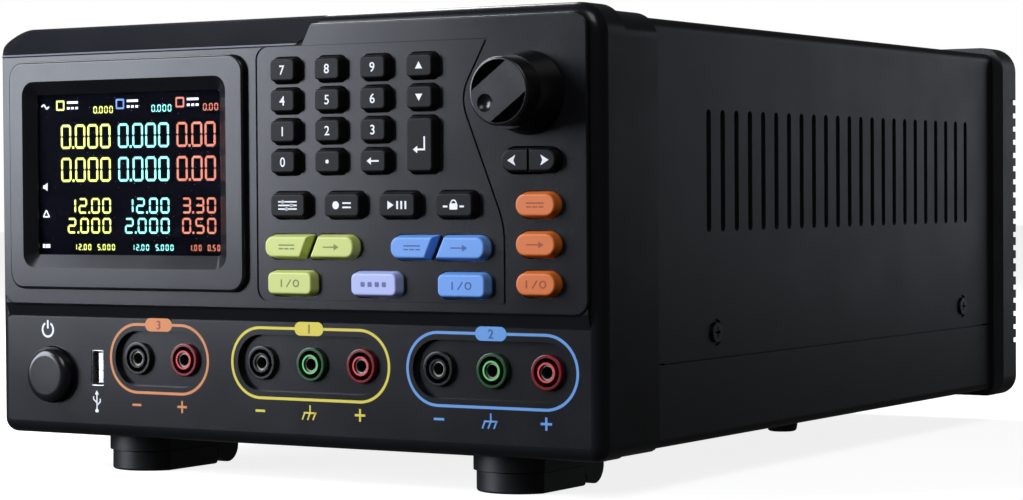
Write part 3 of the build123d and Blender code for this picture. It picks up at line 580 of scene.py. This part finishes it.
def paint_socket_rim_highlights():
    """The front rim of the inner tube of each coloured socket, with a painted highlight: a brighter copy of
    the socket's red and green.
    """
    last = 360 - 360 / RIM_POINTS
    for color, places in COLORED_SOCKETS.items():
        low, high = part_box(f"{color}_sockets")
        z, face = (low.z + high.z) / 2 / MM, (low.y - PANEL_Y) / MM
        bm = bmesh.new()
        for x in places:
            outer = arc_points(x, z, RIM_OUTER, 0, last, RIM_POINTS - 1)
            inner = arc_points(x, z, RIM_INNER, 0, last, RIM_POINTS - 1)
            add_ring(bm, outer, inner, face - RIM_THICK, face + RIM_THICK)
        name = f"socket_rim_highlights_{color}"
        new_piece(name, mesh_of(bm, name), INKS_AND_HIGHLIGHTS[f"ring_{color}"], "chassis")


def arc_points(x, z, radius, start, end, steps):
    """Points along an arc between two angles in degrees."""
    angles = [math.radians(start + (end - start) * i / steps) for i in range(steps + 1)]
    return [(x + radius * math.cos(angle), z + radius * math.sin(angle)) for angle in angles]


def arc_bar(x, z, radius, start, end, width, steps=18):
    """A stroke along an arc, as a list of one outline."""
    outer = arc_points(x, z, radius + width / 2, start, end, steps)
    inner = arc_points(x, z, radius - width / 2, end, start, steps)
    return [outer + inner]


POWER_SIGN, PORT_SIGN = (-102.4, 50.4), (-80.0, 25.3)


def small_prints():
    """The on and off sign over the power button, and the branching sign under the data port."""
    x, z = POWER_SIGN
    shapes = arc_bar(x, z, 2.5, 120, 420, 0.75) + [bar(x, z + 0.4, x, z + 3.4, 0.75)]
    print_shapes("power_sign", shapes, INKS_AND_HIGHLIGHTS["white"], "chassis", 0.0)
    x, z = PORT_SIGN
    shapes = [bar(x, z - 2.6, x, z + 3.0, 0.5), rounded(x - 0.8, x + 0.8, z - 3.6, z - 2.4, 0.6, 6),
              [(x - 0.9, z + 2.7), (x, z + 4.2), (x + 0.9, z + 2.7)],
              bar(x, z - 1.2, x + 1.5, z + 0.2, 0.45), bar(x + 1.5, z + 0.1, x + 1.5, z + 1.3, 0.45),
              bar(x, z - 0.2, x - 1.5, z + 1.0, 0.45), bar(x - 1.5, z + 0.9, x - 1.5, z + 2.0, 0.45)]
    print_shapes("port_sign", shapes, INKS_AND_HIGHLIGHTS["white"], "chassis", 0.0)


STRIP_RISE, STRIP_RUN = 10.6, 10.5                # the slope along the top left of the bezel
STRIP_FOOT_Y, STRIP_FOOT_Z = -2.0, 147.4


def on_slope(u, v, lift):
    """A place on the slope: u to the right, v up along it and lift off it, all in millimetres."""
    length = math.hypot(STRIP_RISE, STRIP_RUN)
    rise, run = STRIP_RISE / length, STRIP_RUN / length
    return Vector((u * MM, PANEL_Y + (STRIP_FOOT_Y + v * run - lift * rise) * MM,
                   (STRIP_FOOT_Z + v * rise + lift * run) * MM))


def slope_plate(name, outline, look, low, high):
    bm = bmesh.new()
    layers = [[bm.verts.new(on_slope(u, v, lift)) for u, v in outline] for lift in (low, high)]
    bm.faces.new(layers[0])
    bm.faces.new(layers[1])
    for i in range(len(outline)):
        j = (i + 1) % len(outline)
        bm.faces.new((layers[0][i], layers[0][j], layers[1][j], layers[1][i]))
    new_piece(name, mesh_of(bm, name), look, "chassis")


def label_strip():
    """The glossy dark strip on the slope along the top left, with a paler line along its foot: a painted
    highlight on the edge there.
    """
    strip = [(-120.5, 1.6), (9.0, 1.6), (21.0, 13.6), (-115.5, 13.6)]
    # the paler line is a painted highlight on the edge at the strip's foot
    line = [(-121.5, 0.6), (8.2, 0.6), (9.0, 1.4), (-121.2, 1.4)]
    slope_plate("label_strip", strip, STRIP_GLOSS, -0.05, 0.25)
    slope_plate("label_edge_highlight", line, INKS_AND_HIGHLIGHTS["edge"], -0.05, 0.12)


# ======== key legends ========
def triangle(x, z, size, up):
    """A triangle pointing up or down, as a list of one outline."""
    s = size if up else -size
    return [[(x - size * 0.6, z - s * 0.45), (x + size * 0.6, z - s * 0.45), (x, z + s * 0.55)]]


def on_off_mark(x, z, size):
    """The signs for on and off: a stroke, a slash and a ring."""
    h = size / 2
    return [bar(x - size * 1.3, z - h, x - size * 1.3, z + h, size * 0.2),
            bar(x - size * 0.45, z - h, x + size * 0.25, z + h, size * 0.16)] + \
        arc_bar(x + size * 1.1, z, h * 0.85, 0, 180, size * 0.18, 10) + \
        arc_bar(x + size * 1.1, z, h * 0.85, 180, 360, size * 0.18, 10)


def volt_mark(x, z, size):
    """The sign for direct voltage: a line over three dashes."""
    w = size * 0.2
    return [bar(x - size * 1.4, z + w * 1.3, x + size * 1.4, z + w * 1.3, w)] + \
        [bar(x + (i - 0.38) * size, z - w * 1.3, x + (i + 0.38) * size, z - w * 1.3, w) for i in (-1, 0, 1)]


def current_mark(x, z, size):
    """An arrow along a line, for current."""
    w = size * 0.2
    return [bar(x - size * 1.5, z, x + size * 0.7, z, w),
            [(x + size * 0.6, z - size * 0.5), (x + size * 1.5, z), (x + size * 0.6, z + size * 0.5)]]


def key_mark(name, x, z):
    """The printed sign of a key without a digit."""
    if name in ("key_up", "key_down"):
        return triangle(x, z, 2.3, name == "key_up")
    if name == "key_point":
        return [rounded(x - 0.65, x + 0.65, z - 0.65, z + 0.65, 0.6, 6)]
    if name == "key_backspace":
        return [bar(x - 1.0, z, x + 2.4, z, 0.55), [(x - 2.4, z), (x - 0.7, z - 1.2), (x - 0.7, z + 1.2)]]
    if name == "key_enter":
        return [bar(x + 2.0, z + 2.6, x + 2.0, z - 1.3, 0.6), bar(x + 2.3, z - 1.6, x - 0.9, z - 1.6, 0.6),
                [(x - 2.4, z - 1.6), (x - 0.7, z - 2.8), (x - 0.7, z - 0.4)]]
    if name == "key_utility":
        rows = [bar(x - 3.8, z + k, x + 3.8, z + k, 0.5) for k in (1.2, 0.0, -1.2)]
        return rows + [rounded(x + k - 0.55, x + k + 0.55, z + r - 0.55, z + r + 0.55, 0.5, 5)
                       for k, r in ((-2.0, 1.2), (1.6, 0.0), (-0.4, -1.2))]
    if name == "key_record":
        return [rounded(x - 3.6, x - 1.0, z - 1.3, z + 1.3, 1.25, 8)] + \
            [bar(x + 0.4, z + k, x + 3.8, z + k, 0.55) for k in (0.7, -0.7)]
    if name == "key_program":
        return [[(x - 3.6, z - 1.4), (x - 1.2, z), (x - 3.6, z + 1.4)]] + \
            [bar(x + k, z - 1.3, x + k, z + 1.3, 0.7) for k in (0.2, 1.8, 3.4)]
    if name == "key_lock":
        padlock = [rounded(x - 1.5, x + 1.5, z - 1.5, z + 0.5, 0.3, 4)]
        padlock += arc_bar(x, z + 0.5, 1.0, 0, 180, 0.45, 12)
        return padlock + [bar(x + k, z - 0.5, x + k + 1.7, z - 0.5, 0.6) for k in (-4.0, 2.3)]
    if name.endswith("_voltage"):
        return volt_mark(x, z, 2.3)
    if name.endswith("_current"):
        return current_mark(x, z, 2.1)
    if name.endswith("_output"):
        return on_off_mark(x, z, 2.5)
    return [rounded(x + k - 0.8, x + k + 0.8, z - 0.8, z + 0.8, 0.3, 4) for k in (-4.2, -1.4, 1.4, 4.2)]


KEY_INKS = {"first": "dark_lime", "second": "dark_blue", "third": "dark_orange", "mode": "dark_lavender"}
DIGIT_SIZE, DIGIT_BOLD = 4.4, 0.04


def key_face(name):
    """The middle of a key in the front view, and the depth of its face."""
    low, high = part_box(name)
    return (low.x + high.x) / 2 / MM, (low.z + high.z) / 2 / MM, (low.y - PANEL_Y) / MM


def print_keys():
    """Each key's sign lies on its face and moves with it."""
    for name in sorted(nodes):
        if not name.startswith("key_") or name in ("key_board", "key_arrows"):
            continue
        x, z, face = key_face(name)
        kind = name.split("_")[1]
        look = INKS_AND_HIGHLIGHTS[KEY_INKS.get(kind, "white")]
        if kind.isdigit():
            print_text(f"{name}_digit", kind, x, face, z, DIGIT_SIZE, look, name, DIGIT_BOLD)
        else:
            print_shapes(f"{name}_sign", key_mark(name, x, z), look, name, face)
    x, z, face = key_face("key_arrows")
    arrows = [[(x + k * 7.6, z), (x + k * 4.6, z + k * 1.7), (x + k * 5.3, z), (x + k * 4.6, z - k * 1.7)]
              for k in (-1, 1)]
    print_shapes("key_arrows_signs", arrows, INKS_AND_HIGHLIGHTS["white"], "key_arrows", face)


# ======== stage, lights and camera ========
def make_floor():
    """Pale paper that the eye sees, but that the object neither mirrors nor is lit by."""
    bm = bmesh.new()
    bmesh.ops.create_circle(bm, cap_ends=True, segments=96, radius=FLOOR_RADIUS)
    mesh = bpy.data.meshes.new("floor")
    bm.to_mesh(mesh)
    bm.free()
    floor = bpy.data.objects.new("floor", mesh)
    bpy.context.scene.collection.objects.link(floor)
    mesh.materials.append(material("floor_paper", (0.5, 0.5, 0.505), 0.85, specular=0.05, emission=(1, 1, 1),
                                   strength=FLOOR_GLOW))
    floor.visible_glossy = False
    floor.visible_diffuse = False


def make_world():
    """White to the eye, softer as light."""
    world = bpy.data.worlds.new("studio")
    world.use_nodes = True
    bpy.context.scene.world = world
    tree = world.node_tree
    seen, lit = tree.nodes["Background"], tree.nodes.new("ShaderNodeBackground")
    path, mix = tree.nodes.new("ShaderNodeLightPath"), tree.nodes.new("ShaderNodeMixShader")
    seen.inputs["Color"].default_value = (1, 1, 1, 1)
    lit.inputs["Color"].default_value = (0.96, 0.98, 1.0, 1)
    lit.inputs["Strength"].default_value = WORLD_LIGHT
    tree.links.new(path.outputs["Is Camera Ray"], mix.inputs[0])
    tree.links.new(lit.outputs[0], mix.inputs[1])
    tree.links.new(seen.outputs[0], mix.inputs[2])
    tree.links.new(mix.outputs[0], tree.nodes["World Output"].inputs["Surface"])


def area_light(name, place, target, size, power, color):
    """A rectangular softbox that looks at a target."""
    data = bpy.data.lights.new(name, "AREA")
    data.shape = "RECTANGLE"
    data.size, data.size_y = size
    data.energy = power
    data.color = color
    lamp = bpy.data.objects.new(name, data)
    bpy.context.scene.collection.objects.link(lamp)
    lamp.location = place
    lamp.rotation_mode = "QUATERNION"
    lamp.rotation_quaternion = (Vector(target) - Vector(place)).to_track_quat("-Z", "Y")


def make_camera():
    """The camera of the photograph: yaw to the right of +Y, pitch upwards and roll, in degrees."""
    data = bpy.data.cameras.new("camera")
    data.lens = CAMERA_LENS
    data.sensor_width = 36.0
    data.clip_start, data.clip_end = 0.05, 50.0
    camera = bpy.data.objects.new("camera", data)
    bpy.context.scene.collection.objects.link(camera)
    yaw, pitch, roll = (math.radians(a) for a in (CAMERA_YAW, CAMERA_PITCH, CAMERA_ROLL))
    forward = Vector((math.sin(yaw) * math.cos(pitch), math.cos(yaw) * math.cos(pitch), math.sin(pitch)))
    level = Vector((math.cos(yaw), -math.sin(yaw), 0))
    upright = level.cross(forward)
    right = level * math.cos(roll) + upright * math.sin(roll)
    up = upright * math.cos(roll) - level * math.sin(roll)
    turn = Matrix((right, up, -forward)).transposed()
    camera.matrix_world = Matrix.Translation(CAMERA_PLACE) @ turn.to_4x4()
    bpy.context.scene.camera = camera


dress_nodes()
show_screen()
output_prints()
paint_socket_rim_highlights()
small_prints()
label_strip()
vent_fins()
print_keys()
make_floor()
make_world()
for light in LIGHTS:
    area_light(*light)
make_camera()
bpy.context.scene.view_settings.view_transform = "Standard"
